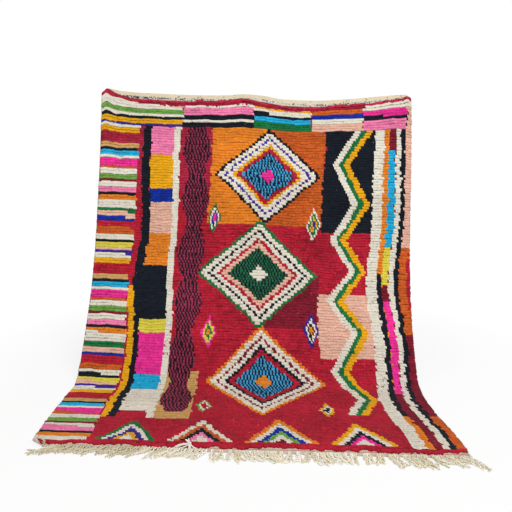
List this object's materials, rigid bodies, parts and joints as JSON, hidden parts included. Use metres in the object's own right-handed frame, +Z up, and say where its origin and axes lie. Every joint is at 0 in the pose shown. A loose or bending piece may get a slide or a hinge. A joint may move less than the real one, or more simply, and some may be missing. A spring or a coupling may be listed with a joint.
{
  "type": "boujaad rug",
  "caption": "Hand-knotted wool rug with a jewel-coloured geometric pile, hung by its upper end and swept forward onto the floor, with flat-woven ends, bound sides and a warp fringe.",
  "frame": {"origin": "on the floor, under the middle of the rug's bounding box", "axes": "+X to the viewer's right along the held edge, +Y from the fringe towards the held edge, +Z up"},
  "size_m": [2.0862, 1.4412, 1.7493],
  "materials": {
    "pile_wool": "crimson, ivory and many-coloured wool pile, knotted in ribbed rows",
    "kilim_wool_top": "cream weft-faced flat weave with a dark speckled line",
    "kilim_wool_front": "cream and pinkish weft-faced flat weave",
    "overcast_wool_left": "overcast wool yarn in mixed colours",
    "overcast_wool_right": "overcast wool yarn in mixed colours",
    "warp_yarn": "undyed cream warp yarn, twisted",
    "warp_yarn_turned": "undyed cream warp yarn, knotted in a loop"
  },
  "bodies": {
    "root": {"pile_field": "pile_wool", "kilim_band_top": "kilim_wool_top", "kilim_band_front": "kilim_wool_front", "selvedge_left": "overcast_wool_left", "selvedge_right": "overcast_wool_right", "warp_fringe": "warp_yarn", "turned_back_tassel": "warp_yarn_turned"}
  },
  "joints": []
}
